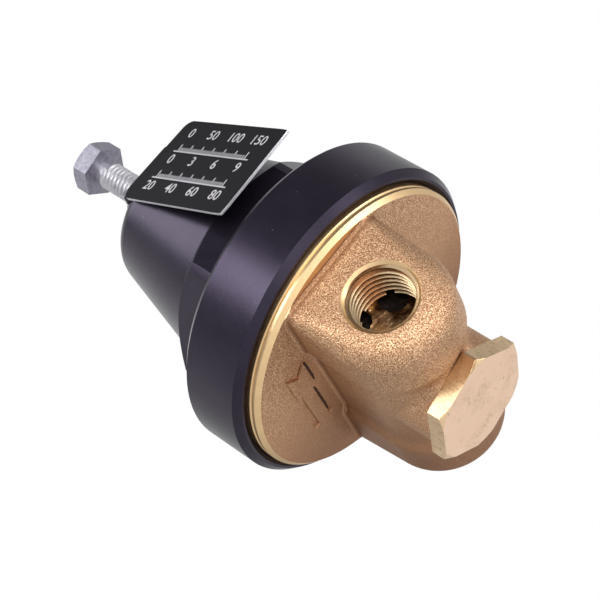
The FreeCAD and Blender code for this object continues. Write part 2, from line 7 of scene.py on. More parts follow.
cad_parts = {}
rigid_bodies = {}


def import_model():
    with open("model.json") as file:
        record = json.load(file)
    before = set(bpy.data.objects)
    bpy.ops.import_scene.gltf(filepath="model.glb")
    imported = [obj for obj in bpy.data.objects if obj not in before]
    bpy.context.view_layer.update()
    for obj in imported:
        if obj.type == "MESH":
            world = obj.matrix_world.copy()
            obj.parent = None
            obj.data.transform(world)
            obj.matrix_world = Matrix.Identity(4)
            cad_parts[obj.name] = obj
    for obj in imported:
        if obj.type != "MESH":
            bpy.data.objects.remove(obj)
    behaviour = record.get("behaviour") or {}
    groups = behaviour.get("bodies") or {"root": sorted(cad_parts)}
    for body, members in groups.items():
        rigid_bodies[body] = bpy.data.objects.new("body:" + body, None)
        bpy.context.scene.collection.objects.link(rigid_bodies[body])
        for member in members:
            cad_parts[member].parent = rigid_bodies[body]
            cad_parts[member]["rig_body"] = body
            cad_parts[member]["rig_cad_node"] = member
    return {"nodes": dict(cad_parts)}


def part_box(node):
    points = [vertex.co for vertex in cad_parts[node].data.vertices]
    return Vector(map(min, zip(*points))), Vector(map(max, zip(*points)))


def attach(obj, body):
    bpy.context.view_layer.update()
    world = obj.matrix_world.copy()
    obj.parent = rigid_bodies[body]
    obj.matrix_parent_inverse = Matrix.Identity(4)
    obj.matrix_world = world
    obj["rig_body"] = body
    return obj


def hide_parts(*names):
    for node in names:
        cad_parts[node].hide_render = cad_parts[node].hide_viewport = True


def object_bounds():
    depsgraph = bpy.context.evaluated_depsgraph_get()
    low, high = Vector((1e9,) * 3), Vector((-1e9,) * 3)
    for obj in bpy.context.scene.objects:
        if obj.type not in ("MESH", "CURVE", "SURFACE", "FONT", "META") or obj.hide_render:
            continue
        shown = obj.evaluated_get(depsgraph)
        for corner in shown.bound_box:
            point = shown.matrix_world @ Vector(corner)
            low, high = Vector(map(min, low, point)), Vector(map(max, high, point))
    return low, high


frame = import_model()
nodes = frame["nodes"]
cad_low, cad_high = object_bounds()

# The photographer's table: a small regulator laid on its side and seen from beside its inlet port,
# so here, where it stands upright, the camera looks up at it from below and is turned on its side.
MM = 0.001
bpy.ops.object.select_all(action="DESELECT")
bpy.context.scene.view_settings.view_transform = "Standard"
washer_low, washer_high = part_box("lock_washer")
AXIS_X = (washer_low.x + washer_high.x) / 2
FRAME_PIXELS = 600
FOCAL_PIXELS = 1727
SENSOR_WIDTH = 36
camera_right = Vector((-0.291, 0.615, -0.733)).normalized()
camera_up = Vector((0.469, 0.759, 0.452))
camera_back = camera_right.cross(camera_up).normalized()
camera_up = camera_back.cross(camera_right)
camera_place = Vector((AXIS_X, 0, 0)) + Vector((273.9, -71.1, -139.5)) * MM
bpy.ops.object.camera_add()
camera = bpy.context.object
camera.name = "camera"
turned = Matrix((camera_right, camera_up, camera_back)).transposed().to_4x4()
camera.matrix_world = Matrix.Translation(camera_place) @ turned
camera.data.sensor_width = SENSOR_WIDTH
camera.data.lens = SENSOR_WIDTH * FOCAL_PIXELS / FRAME_PIXELS
camera.data.clip_start = 20 * MM
bpy.context.scene.camera = camera


def softbox(name, toward, distance, size, power):
    """A square studio lamp that faces the middle of the regulator."""
    middle = (cad_low + cad_high) / 2
    aim = Vector(toward).normalized()
    bpy.ops.object.light_add(type="AREA", location=middle + aim * distance)
    lamp = bpy.context.object
    lamp.name = name
    lamp.rotation_euler = aim.to_track_quat("Z", "Y").to_euler()
    lamp.data.size = size
    lamp.data.energy = power


softbox("front_softbox", (0.91, 0.10, -0.26), distance=0.5, size=0.3, power=1.75)
softbox("left_softbox", (0.82, -0.405, 0.40), distance=0.37, size=0.14, power=0.55)
softbox("right_softbox", (0.26, 0.61, -0.72), distance=0.4, size=0.16, power=0.45)
softbox("far_softbox", (0.38, -0.17, 0.91), distance=0.5, size=0.28, power=1.1)

FLOOR_SIZE = 4
FLOOR_HEIGHT = -0.3
bpy.ops.mesh.primitive_grid_add(x_subdivisions=2, y_subdivisions=2, size=FLOOR_SIZE,
                                location=(0, 0, FLOOR_HEIGHT))
floor = bpy.context.object
floor.name = "floor"


class Value:
    """A socket. Arithmetic on it adds Math nodes, so a mask reads as a formula."""

    def __init__(self, owner, socket):
        self.owner = owner
        self.socket = socket

    def math(self, operation, first, second):
        return self.owner.node("ShaderNodeMath", {"operation": operation}, {0: first, 1: second})

    def __add__(self, other):
        return self.math("ADD", self, other)

    def __radd__(self, other):
        return self.math("ADD", other, self)

    def __mul__(self, other):
        return self.math("MULTIPLY", self, other)

    def __rmul__(self, other):
        return self.math("MULTIPLY", other, self)

    def __sub__(self, other):
        return self.math("SUBTRACT", self, other)

    def __rsub__(self, other):
        return self.math("SUBTRACT", other, self)

    def __or__(self, other):
        return self.math("MAXIMUM", self, other)

    def __abs__(self):
        return self.owner.node("ShaderNodeMath", {"operation": "ABSOLUTE"}, {0: self})


class Nodes:
    """The shader nodes of the studio's light or of one finish."""

    def __init__(self, tree, shader, output):
        self.tree = tree
        tree.nodes.clear()
        self.shader = tree.nodes.new(shader)
        tree.links.new(self.shader.outputs[0], tree.nodes.new(output).inputs[0])

    def node(self, kind, settings, values, output=0):
        made = self.tree.nodes.new(kind)
        for name, setting in settings.items():
            setattr(made, name, setting)
        self.fill(made, values)
        return Value(self, made.outputs[output])

    def fill(self, made, values):
        for name, value in values.items():
            if isinstance(value, Value):
                self.tree.links.new(value.socket, made.inputs[name])
            else:
                made.inputs[name].default_value = (*value, 1) if type(value) is tuple else value

    def ramp(self, factor, low, high):
        """0 at low and below, 1 at high and above, or the other way round where low is the larger."""
        values = {"Value": factor, "From Min": low, "From Max": high}
        return self.node("ShaderNodeMapRange", {"clamp": True}, values)

    def mix(self, factor, first, second):
        """The first colour where the factor is 0 and the second where it is 1."""
        values = {"Factor": factor, 6: first, 7: second}
        return self.node("ShaderNodeMix", {"data_type": "RGBA"}, values, 2)

    def reach(self, place, direction):
        """How far a place lies along a direction."""
        values = {0: place, 1: Vector(direction)}
        return self.node("ShaderNodeVectorMath", {"operation": "DOT_PRODUCT"}, values, "Value")

    def ray(self, kind):
        return self.node("ShaderNodeLightPath", {}, {}, kind)


class Finish(Nodes):
    """One finish, patterned on Object coordinates."""

    def __init__(self, name):
        self.material = bpy.data.materials.new(name)
        self.material.use_nodes = True
        super().__init__(self.material.node_tree, "ShaderNodeBsdfPrincipled", "ShaderNodeOutputMaterial")
        self.place = self.node("ShaderNodeTexCoord", {}, {}, "Object")

    def axis(self, name):
        """The place along X, Y or Z."""
        return self.node("ShaderNodeSeparateXYZ", {}, {"Vector": self.place}, name)

    def stretched(self, *stretch):
        """The place on the piece with its three directions scaled."""
        return self.node("ShaderNodeMapping", {}, {"Vector": self.place, "Scale": Vector(stretch)})

    def noise(self, size, detail=2.0, roughness=0.5, place=None):
        """Noise whose lumps are about size millimetres across."""
        values = {"Vector": place or self.place, "Scale": 1 / MM / size,
                  "Detail": detail, "Roughness": roughness}
        return self.node("ShaderNodeTexNoise", {}, values, "Fac")

    def bump(self, height, depth):
        """Relief of depth millimetres."""
        return self.node("ShaderNodeBump", {}, {"Height": height, "Distance": depth * MM})

    def dress(self, **sockets):
        self.fill(self.shader, {name.replace("_", " "): value for name, value in sockets.items()})
        return self.material


# The studio: white as the camera sees it, a white table to one side and a dimmer room to the other.
# Bright metal mirrors the table and one bright strip of backdrop above it.
world = bpy.data.worlds.new("studio")
bpy.context.scene.world = world
world.use_nodes = True
studio = Nodes(world.node_tree, "ShaderNodeBackground", "ShaderNodeOutputWorld")
ROOM_SIDE = Vector((0.84, 0.545, 0.17)).normalized()
BACKDROP_TOP = Vector((-0.2, 0.75, 0.6)).normalized()
FILL_LIGHT = 0.5
direction = studio.node("ShaderNodeTexCoord", {}, {}, "Generated")
facing_room = studio.reach(direction, ROOM_SIDE)
dim_room = studio.ramp(facing_room, -0.4, 0.3) * 0.7
table_edge = studio.ramp(facing_room, -0.6, -0.9) * 0.6
backdrop = studio.ramp(studio.reach(direction, BACKDROP_TOP), 0.88, 0.98) * 0.8
tent = 1 - dim_room - table_edge | backdrop
mirrored = studio.ray("Is Glossy Ray") | studio.ray("Is Transmission Ray")
strength = studio.ray("Is Camera Ray") | mirrored * tent | tent * FILL_LIGHT
studio.fill(studio.shader, {"Color": (1, 1, 1), "Strength": strength})
PALE = Finish("pale_floor")
glossy = PALE.ray("Is Glossy Ray") | PALE.ray("Is Transmission Ray")
glow = PALE.mix(glossy, (0, 0, 0), (0.47, 0.47, 0.47))
table = PALE.mix(PALE.ray("Is Camera Ray"), glow, (1, 1, 1))
floor.data.materials.append(PALE.dress(Base_Color=(0.86, 0.86, 0.86), Roughness=0.9, Emission_Strength=1.0,
                                       Emission_Color=table))


# The body is sand cast in bronze and keeps the grain of the mould. Its flange rim and its ports are
# machined bright, and its cored passages are painted near black as shadow. The solid is copied and its edges
# are broken.
FLANGE_FACE = 12.3
BOSS_HALF_WIDTH = 13.4
CAST = Finish("cast_bronze")
along = CAST.axis("X")
height = CAST.axis("Z")
on_boss = CAST.ramp(abs(CAST.axis("Y")), (BOSS_HALF_WIDTH + 0.2) * MM, (BOSS_HALF_WIDTH - 0.2) * MM)
under_face = CAST.ramp(height, (FLANGE_FACE - 0.02) * MM, (FLANGE_FACE - 0.2) * MM)
# Painted shade: the fillet where the bosses meet the flange face is coloured dark brown as the shadow of
# that crease.
root = under_face * CAST.ramp(height, (FLANGE_FACE - 1.7) * MM, (FLANGE_FACE - 1.0) * MM) * on_boss * 0.7
# Painted shade: the strip of flange face between the near boss and the rim is coloured dark brown as shadow.
painted_strip_shade = on_boss * CAST.ramp(along, 0.6 * MM, 1.1 * MM) * 0.8
blasted = CAST.ramp(along, -32 * MM, -6 * MM)
grain = CAST.noise(0.24, 2, 0.6)
lumps = CAST.noise(1.7, 3, 0.55)
patches = CAST.ramp(CAST.noise(8.0), 0.35, 0.65)
flecks = CAST.ramp(grain, 0.52, 0.66) * (blasted * 0.85 + 0.15)
sand = CAST.ramp(grain, 0.48, 0.36) * (blasted * 0.8 + 0.2)
worn = CAST.mix(patches, (0.53, 0.31, 0.175), (0.47, 0.27, 0.15))
# Painted shade: the casting is coloured darker towards the far boss, standing in for the shadow on that
# side.
bronze = CAST.mix(CAST.ramp(along, -22 * MM, -42 * MM), worn, (0.30, 0.155, 0.085))
bronze = CAST.mix(flecks, bronze, (0.86, 0.61, 0.39))
bronze = CAST.mix(sand, bronze, (0.24, 0.115, 0.06))
bronze = CAST.mix(root | painted_strip_shade, bronze, (0.27, 0.13, 0.065))
CAST.dress(Base_Color=bronze, Metallic=0.92, Roughness=0.57 - flecks * 0.24,
           Normal=CAST.bump(grain * (blasted * 0.8 + 0.2) + lumps * 1.1, 0.13))

MACHINED = Finish("machined_bronze")
turning = MACHINED.noise(0.25, 2, 0.5)
MACHINED.dress(Base_Color=MACHINED.mix(MACHINED.noise(2.0), (0.80, 0.57, 0.31), (0.70, 0.48, 0.26)),
               Metallic=1.0, Roughness=turning * 0.16 + 0.3, Normal=MACHINED.bump(turning, 0.008))

TAPPED = Finish("tapped_bronze")
# Painted reflection: one side of the tapped thread is coloured dark brown, standing in for the dim room it
# mirrors.
DARK_REFLECTION_SIDE = (0, 0.34, 0.94)
port_place = TAPPED.stretched(0, 1, 1)
from_axis = TAPPED.node("ShaderNodeVectorMath", {"operation": "LENGTH"}, {0: port_place}, "Value")
chatter = TAPPED.noise(0.35, 3, 0.6)
near_mouth = TAPPED.ramp(abs(TAPPED.axis("X") - AXIS_X), 23.8 * MM, 24.6 * MM)
# Painted shade: the thread's grooves are coloured near black as their shadow, and the crests keep the
# polished colour; near the mouth the thread keeps mostly the crest colour.
crest = TAPPED.ramp(from_axis + chatter * (0.2 * MM), 6.25 * MM, 5.9 * MM) | near_mouth * 0.8
painted_dark_side = TAPPED.ramp(TAPPED.reach(TAPPED.place, DARK_REFLECTION_SIDE), 4.7 * MM, 5.8 * MM)
polish_and_painted_shade = TAPPED.mix(painted_dark_side, (0.80, 0.62, 0.38), (0.22, 0.10, 0.045))
TAPPED.dress(Base_Color=TAPPED.mix(crest, (0.12, 0.05, 0.02), polish_and_painted_shade), Metallic=1.0,
             Roughness=chatter * 0.2 + 0.3, Normal=TAPPED.bump(chatter, 0.02))

CORED = Finish("cored_bronze")
scale = CORED.noise(3.5, 3, 0.55)
# Painted light and shade: the port floor is coloured light towards -Y and dark towards +Y, as a painted
# highlight and shadow, mottled by the noise.
bare = CORED.ramp(scale - CORED.axis("Y") * 70, 0.30, 0.56)
CORED.dress(Base_Color=CORED.mix(bare, (0.09, 0.04, 0.016), (0.62, 0.38, 0.19)), Metallic=1.0,
            Roughness=scale * 0.3 + 0.2, Normal=CORED.bump(scale, 0.5))
# Painted shadow: the cored chamber walls inside the ports are coloured near black as the shade deep inside
# them.
SHADOWED = Finish("painted_core_shadow")
SHADOWED.dress(Base_Color=SHADOWED.mix(SHADOWED.noise(0.7, 3), (0.012, 0.007, 0.005), (0.035, 0.018, 0.01)),
               Roughness=SHADOWED.noise(0.7) * 0.2 + 0.75, Normal=SHADOWED.bump(SHADOWED.noise(0.6), 0.05))


def select_only(piece):
    """Selects one piece and makes it the one that operators act on."""
    bpy.ops.object.select_all(action="DESELECT")
    bpy.context.view_layer.objects.active = piece
    piece.select_set(True)


def flatten_faces():
    """Joins the triangles of each flat face of the piece in edit mode and points all faces outwards."""
    bpy.ops.mesh.dissolve_limited(angle_limit=math.radians(0.5))
    bpy.ops.mesh.normals_make_consistent(inside=False)


WELD = 1e-6


def merged_copy(node, edge, reshape=None):
    """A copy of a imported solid, reshaped point by point if need be, with its edges broken."""
    source = nodes[node]
    piece = source.copy()
    piece.data = source.data.copy()
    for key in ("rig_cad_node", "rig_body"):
        del piece[key]
    piece.parent = None
    piece.name = node + "_piece"
    bpy.context.scene.collection.objects.link(piece)
    select_only(piece)
    piece.data.materials.clear()
    bpy.ops.object.mode_set(mode="EDIT")
    bpy.ops.mesh.select_all(action="SELECT")
    bpy.ops.mesh.remove_doubles(threshold=WELD)
    bpy.ops.mesh.customdata_custom_splitnormals_clear()
    if reshape:
        bpy.ops.object.mode_set(mode="OBJECT")
        for point in piece.data.vertices:
            reshape(point.co)
        bpy.ops.object.mode_set(mode="EDIT")
    flatten_faces()
    bpy.ops.object.mode_set(mode="OBJECT")
    soften(piece, edge)
    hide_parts(node)
    return piece


SHARP_EDGE = math.radians(28)


def soften(piece, width):
    """Breaks a piece's sharp edges and shades its curves smooth."""
    select_only(piece)
    bevel = piece.modifiers.new("edge", "BEVEL")
    bevel.width = width * MM
    bevel.segments = 2
    bevel.limit_method = "ANGLE"
    bevel.angle_limit = SHARP_EDGE
    bpy.ops.object.modifier_apply(modifier="edge")
    bpy.ops.object.shade_smooth_by_angle(angle=SHARP_EDGE)
    flatten = piece.modifiers.new("flatten", "WEIGHTED_NORMAL")
    flatten.weight = 90
    flatten.keep_sharp = True
    bpy.ops.object.modifier_apply(modifier="flatten")


def cut_with(piece, tool, operation):
    """Cuts a piece with another mesh, which is used up."""
    select_only(piece)
    cut = piece.modifiers.new("cut", "BOOLEAN")
    cut.operation = operation
    cut.object = tool
    cut.solver = "EXACT"
    bpy.ops.object.modifier_apply(modifier="cut")
    bpy.data.objects.remove(tool)


# Where the mould's sand cores broke into the inlet: two ragged holes where its wall meets its floor.
# Each has its centre, its three half widths and its turn about the port, in millimetres and degrees.
BREAKS = (
    (Vector((-11.3, 4.4, 4.5)), Vector((2.6, 2.9, 3.0)), -45),
    (Vector((-11.1, -2.6, 6.1)), Vector((3.6, 2.3, 1.7)), 24),
)


def ragged_core(centre, radii, turn):
    """The broken sand core that left one hole, as a lump with a rough skin."""
    bpy.ops.object.select_all(action="DESELECT")
    bpy.ops.mesh.primitive_ico_sphere_add(subdivisions=4, radius=1, location=(0, 0, 0))
    core = bpy.context.object
    for point in core.data.vertices:
        x, y, z = point.co
        coarse = 0.07 * math.sin(9 * x + 4 * z) * math.cos(8 * y - 2)
        fine = 0.05 * math.sin(17 * y + 13 * z + 5 * x)
        point.co *= 1 + coarse + fine
    core.data.transform(Matrix.Diagonal(radii * MM).to_4x4())
    core.data.transform(Matrix.Rotation(math.radians(turn), 4, "X"))
    core.data.transform(Matrix.Translation(centre * MM))
    return core


def in_break(spot):
    """Whether a spot lies inside one of the two breaks."""
    for centre, radii, turn in BREAKS:
        away = Matrix.Rotation(math.radians(-turn), 3, "X") @ (spot / MM - centre)
        if sum((away[k] / radii[k]) ** 2 for k in range(3)) < 1:
            return True
    return False


PORT_FLOOR = 13.6
PORT_RADIUS = 6.62
SKIN = 0.4
body = merged_copy("body", 0.12)
bpy.ops.object.select_all(action="DESELECT")
skin_x = AXIS_X + (PORT_FLOOR + 0.1) * MM
bpy.ops.mesh.primitive_cylinder_add(vertices=64, radius=PORT_RADIUS * MM, depth=SKIN * MM,
                                    location=(skin_x, 0, 0), rotation=(0, math.radians(90), 0))
port_floor = bpy.context.object
port_floor.name = "port_floor"
bpy.ops.object.transform_apply()
for piece in (body, port_floor):
    for lump in BREAKS:
        cut_with(piece, ragged_core(*lump), "DIFFERENCE")
CAST_SKIN, TURNED_FACE, CORED_FLOOR, CORED_WALL = range(4)
RIM_RADIUS = 27.9
MOUTH_RADIUS = 7.45
CHAMBER_REACH = 17.5
for finish in (CAST, MACHINED, CORED, SHADOWED):
    body.data.materials.append(finish.material)
for face in body.data.polygons:
    corners = [body.data.vertices[index].co for index in face.vertices]
    along_port = [abs(corner.x - AXIS_X) / MM for corner in corners]
    off_port = max(math.hypot(corner.y, corner.z) for corner in corners) / MM
    nearest = min(math.hypot(corner.y, corner.z) for corner in corners) / MM
    off_valve = min(math.hypot(corner.x - AXIS_X, corner.y) for corner in corners) / MM
    on_rim = off_valve > RIM_RADIUS
    on_mouth = nearest > 6.5 and off_port < MOUTH_RADIUS and min(along_port) > PORT_FLOOR - 0.2
    in_port = off_port < 6.7 and min(along_port) > PORT_FLOOR - 0.1
    if on_rim or on_mouth:
        face.material_index = TURNED_FACE
    elif in_port and max(along_port) < PORT_FLOOR + 0.1:
        face.material_index = CORED_FLOOR
    elif off_port < 11 and max(along_port) < CHAMBER_REACH:
        face.material_index = CORED_WALL
    else:
        face.material_index = CAST_SKIN
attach(body, "regulator")
port_floor.data.materials.append(CORED.material)
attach(port_floor, "regulator")


# Thin dark strips laid beside the raised arrow on the flange are painted shadow along its edges that face
# away from the light, and the mould has left one small nub at the root of the far boss.
ARROW_SHADOW = Finish("painted_arrow_shadow")
ARROW_SHADOW.dress(Base_Color=ARROW_SHADOW.mix(ARROW_SHADOW.noise(0.6, 3), (0.03, 0.011, 0.006), (0.11, 0.05, 0.028)),
            Metallic=0.5, Roughness=ARROW_SHADOW.noise(0.5) * 0.2 + 0.6, Normal=ARROW_SHADOW.bump(ARROW_SHADOW.noise(0.5), 0.02))
SHADOW_PROUD = 0.02
SHADOW_THICK = 0.03
SHADOW_LINES = (
    ("tail_grime", (11.2, -13.65), (3.8, -13.65), 0.8),
    ("shaft_grime", (2.6, -14.6), (-7.4, -14.6), 0.8),
    ("notch_grime", (9.3, -16.2), (11.1, -14.3), 0.3),
)
for name, start, end, wide in SHADOW_LINES:
    start = Vector((*start, 0))
    end = Vector((*end, 0))
    bpy.ops.object.select_all(action="DESELECT")
    bpy.ops.mesh.primitive_grid_add(x_subdivisions=24, y_subdivisions=2, size=1, location=(0, 0, 0))
    line = bpy.context.object
    line.name = name
    for point in line.data.vertices:
        point.co.y *= (1 - 0.95 * (2 * point.co.x) ** 6) * (0.9 + 0.1 * math.sin(point.co.x * 31))
    line.data.transform(Matrix.Diagonal(Vector(((end - start).length, wide, 1)) * MM).to_4x4())
    bearing = math.atan2(end.y - start.y, end.x - start.x)
    line.data.transform(Matrix.Rotation(bearing, 4, "Z") @ Matrix.Rotation(math.pi, 4, "X"))
    middle = Vector((AXIS_X, 0, (FLANGE_FACE - SHADOW_PROUD) * MM)) + (start + end) / 2 * MM
    line.data.transform(Matrix.Translation(middle))
    thicken = line.modifiers.new("thicken", "SOLIDIFY")
    thicken.thickness = SHADOW_THICK * MM
    bpy.ops.object.modifier_apply(modifier="thicken")
    line.data.materials.append(ARROW_SHADOW.material)
    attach(line, "regulator")


NUB_RADIUS = 0.75
NUB_PLACE = (-37.6, -11.5, 12.2)
bpy.ops.object.select_all(action="DESELECT")
bpy.ops.mesh.primitive_uv_sphere_add(segments=24, ring_count=12, radius=NUB_RADIUS * MM,
                                     location=[place * MM for place in NUB_PLACE])
nub = bpy.context.object
nub.name = "mould_nub"
bpy.ops.object.shade_smooth()
bpy.ops.object.transform_apply()
nub.data.materials.append(CAST.material)
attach(nub, "regulator")


# Pipe thread in each port, cut with a tap into the cast boss: 18 turns to the inch. One ridge is
# drawn as a section and wound by a Screw modifier into a helix inside the port's wall.


def wound_thread(name, section, pitch, turns, steps):
    """A thread's ridge, its section given as radius and height in millimetres, wound up the Z axis."""
    bpy.ops.object.select_all(action="DESELECT")
    bpy.ops.mesh.primitive_plane_add(size=1, location=(0, 0, 0))
    thread = bpy.context.object
    thread.name = name
    order = [loop.vertex_index for loop in thread.data.loops]
    for index, (radius, height) in zip(order, section):
        thread.data.vertices[index].co = (radius * MM, 0, height * MM)
    wind = thread.modifiers.new("wind", "SCREW")
    wind.angle = 2 * math.pi
    wind.screw_offset = pitch * MM
    wind.iterations = turns
    wind.steps = steps
    wind.render_steps = steps
    wind.use_merge_vertices = True
    wind.merge_threshold = WELD
    bpy.ops.object.modifier_apply(modifier="wind")
    for point in thread.data.vertices:
        radius = math.hypot(point.co.x, point.co.y)
        shallow = max(0.0, 1 - point.co.z / (pitch * MM)) * (section[0][0] * MM - radius)
        point.co.x *= 1 + shallow / radius
        point.co.y *= 1 + shallow / radius
    bpy.ops.object.mode_set(mode="EDIT")
    bpy.ops.mesh.select_all(action="SELECT")
    bpy.ops.mesh.normals_make_consistent(inside=False)
    bpy.ops.object.mode_set(mode="OBJECT")
    bpy.ops.object.shade_smooth_by_angle(angle=math.radians(35))
    return thread


PIPE_THREAD = [(6.85, 0.0), (5.78, 0.61), (5.78, 0.73), (6.85, 1.34)]
PIPE_PITCH = 25.4 / 18
CHAMFER_START = 1.9
CHAMFER_FOOT = 6.65
OUTLET_START = 2 * AXIS_X / MM - CHAMFER_START
PORTS = (("inlet_thread", CHAMFER_START, -1), ("outlet_thread", OUTLET_START, 1))
for name, thread_start, inward in PORTS:
    thread = wound_thread(name, PIPE_THREAD, PIPE_PITCH, turns=8, steps=96)
    for point in thread.data.vertices:
        radius = math.hypot(point.co.x, point.co.y)
        mouth = max(radius, CHAMFER_FOOT * MM + CHAMFER_START * MM - point.co.z)
        point.co.x *= mouth / radius
        point.co.y *= mouth / radius
    thread.data.transform(Matrix.Rotation(math.radians(90 * inward), 4, "Y"))
    thread.data.transform(Matrix.Translation((thread_start * MM, 0, 0)))
    bpy.ops.object.mode_set(mode="EDIT")
    bpy.ops.mesh.select_all(action="DESELECT")
    bpy.ops.object.mode_set(mode="OBJECT")
    for face in thread.data.polygons:
        face.select = in_break(face.center) or abs(face.center.x - AXIS_X) > abs(AXIS_X) + 0.05 * MM
    bpy.ops.object.mode_set(mode="EDIT")
    bpy.ops.mesh.delete(type="FACE")
    bpy.ops.object.mode_set(mode="OBJECT")
    thread.data.materials.append(TAPPED.material)
    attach(thread, "regulator")


# The bottom plug is milled from brass bar: six saw-marked flats, a faced end with a few pits, and
# a bevel round the face. It closes the lower chamber and holds the piston spring.
PLUG = Finish("sawn_brass")
cuts = PLUG.noise(0.3, 3, 0.7, PLUG.stretched(1.6, 1.6, 0.22))
tarnish = PLUG.ramp(PLUG.noise(0.9, 4, 0.75), 0.39, 0.33)
brass = PLUG.mix(PLUG.ramp(PLUG.noise(8.0), 0.4, 0.6), (0.90, 0.67, 0.42), (0.76, 0.55, 0.33))
brass = PLUG.mix(PLUG.ramp(cuts, 0.5, 0.3), brass, (0.46, 0.29, 0.15))
# Painted reflection: one hexagon flat is coloured dark towards +Y, standing in for the dark boss it mirrors
# there, with a ragged edge along the saw cuts.
SHADED_FLAT = Vector((0.96, -0.28, 0))
off_valve = PLUG.reach(PLUG.place, SHADED_FLAT) - AXIS_X * SHADED_FLAT.x
on_flat = PLUG.ramp(off_valve, 9.95 * MM, 10.2 * MM)
painted_flat_shade = on_flat * PLUG.ramp(PLUG.axis("Y") + cuts * (2 * MM), -1.2 * MM, 4.2 * MM) * 0.9
brass = PLUG.mix(painted_flat_shade, brass, (0.34, 0.19, 0.10))
PLUG.dress(Base_Color=PLUG.mix(tarnish, brass, (0.22, 0.11, 0.05)), Metallic=1.0,
           Roughness=cuts * 0.2 + 0.22, Normal=PLUG.bump(cuts, 0.05))
FACED = Finish("faced_brass")
faint = FACED.noise(0.35, 3, 0.6)
pits = FACED.ramp(FACED.noise(1.1, 3, 0.65), 0.34, 0.26)
pink = FACED.mix(FACED.noise(5.0), (0.95, 0.69, 0.51), (0.88, 0.62, 0.44))
smeared = FACED.ramp(FACED.noise(6.0, 2), 0.48, 0.62)
smudge = smeared * FACED.ramp(FACED.noise(0.6, 4, 0.75), 0.42, 0.58) * 0.8
pink = FACED.mix(smudge, pink, (0.66, 0.45, 0.29))
FACED.dress(Base_Color=FACED.mix(pits, pink, (0.42, 0.26, 0.15)), Metallic=1.0,
            Roughness=faint * 0.15 + 0.3, Normal=FACED.bump(faint - pits * 0.6, 0.02))
plug = merged_copy("bottom_plug", 0.15)
plug.data.materials.append(PLUG.material)
plug.data.materials.append(FACED.material)
FACED_END = 1
for face in plug.data.polygons:
    if face.normal.z < -0.97:
        face.material_index = FACED_END
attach(plug, "regulator")


# The bonnet is one turned and milled piece of aluminium bar, black anodised: the ring that screws
# over the flange, the wrench hexagon and the tapered spring housing.
ANODISED = Finish("black_anodised")
film = ANODISED.noise(0.2, 3, 0.6)
cloud = ANODISED.ramp(ANODISED.noise(7.0, 3, 0.55), 0.3, 0.7)
nicks = ANODISED.ramp(ANODISED.noise(1.0, 4, 0.75), 0.275, 0.25)
dye = ANODISED.mix(cloud, (0.026, 0.0205, 0.036), (0.033, 0.0265, 0.044))
ANODISED.dress(Base_Color=ANODISED.mix(nicks, dye, (0.45, 0.44, 0.48)), Metallic=0.8,
               Roughness=film * 0.16 + 0.22, Normal=ANODISED.bump(film, 0.02))
RING_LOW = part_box("bonnet")[0].z
RING_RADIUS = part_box("bonnet")[1].y
CHAMFER_HEIGHT = 1.4
CHAMFER_DEPTH = 1.15
CONE_RADIUS = 12
CONE_OUTWARD, CONE_UPWARD = 0.9642, 0.2652


def wider_chamfer(spot):
    """Moves the ring's narrow edge break out to the wide chamfer of its open end."""
    radius = math.hypot(spot.x - AXIS_X, spot.y)
    if spot.z < RING_LOW + 0.35 * MM and radius > RING_RADIUS - 0.1 * MM:
        spot.z = RING_LOW + CHAMFER_HEIGHT * MM
    elif spot.z < RING_LOW + 0.01 * MM and radius > RING_RADIUS - 0.5 * MM:
        inward = (RING_RADIUS - CHAMFER_DEPTH * MM) / radius
        spot.x = AXIS_X + (spot.x - AXIS_X) * inward
        spot.y *= inward


bonnet = merged_copy("bonnet", 0.15, reshape=wider_chamfer)
normals = [corner.vector.copy() for corner in bonnet.data.corner_normals]
for face in bonnet.data.polygons:
    off_valve = math.hypot(face.center.x - AXIS_X, face.center.y)
    if abs(face.normal.z - 0.265) < 0.02 and off_valve > CONE_RADIUS * MM:
        for corner in face.loop_indices:
            spot = bonnet.data.vertices[bonnet.data.loops[corner].vertex_index].co
            radial = Vector((spot.x - AXIS_X, spot.y, 0)).normalized()
            normals[corner] = radial * CONE_OUTWARD + Vector((0, 0, CONE_UPWARD))
bonnet.data.normals_split_custom_set(normals)
bonnet.data.materials.append(ANODISED.material)
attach(bonnet, "regulator")


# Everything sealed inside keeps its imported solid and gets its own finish: fibre gaskets, turned
# steel, brass, rubber and spring wire.
FIBRE = Finish("fibre")
FIBRE.dress(Base_Color=FIBRE.mix(FIBRE.noise(0.8, 4), (0.30, 0.09, 0.06), (0.40, 0.15, 0.10)), Roughness=0.8,
            Normal=FIBRE.bump(FIBRE.noise(0.3), 0.02))
STEEL = Finish("turned_steel")
STEEL.dress(Base_Color=STEEL.mix(STEEL.noise(3.0), (0.52, 0.52, 0.53), (0.62, 0.62, 0.63)), Metallic=1.0,
            Roughness=STEEL.noise(0.4) * 0.2 + 0.22,
            Normal=STEEL.bump(STEEL.noise(0.3, 2, 0.5, STEEL.stretched(1, 1, 6)), 0.01))
RUBBER = Finish("rubber")
RUBBER.dress(Base_Color=RUBBER.mix(RUBBER.noise(1.0, 3), (0.02, 0.02, 0.02), (0.035, 0.034, 0.033)),
             Roughness=RUBBER.noise(0.5) * 0.2 + 0.55, Normal=RUBBER.bump(RUBBER.noise(0.4), 0.02))
WIRE = Finish("spring_wire")
WIRE.dress(Base_Color=WIRE.mix(WIRE.noise(1.5), (0.20, 0.20, 0.21), (0.30, 0.30, 0.32)), Metallic=1.0,
           Roughness=WIRE.noise(0.5) * 0.2 + 0.3, Normal=WIRE.bump(WIRE.noise(0.3), 0.01))
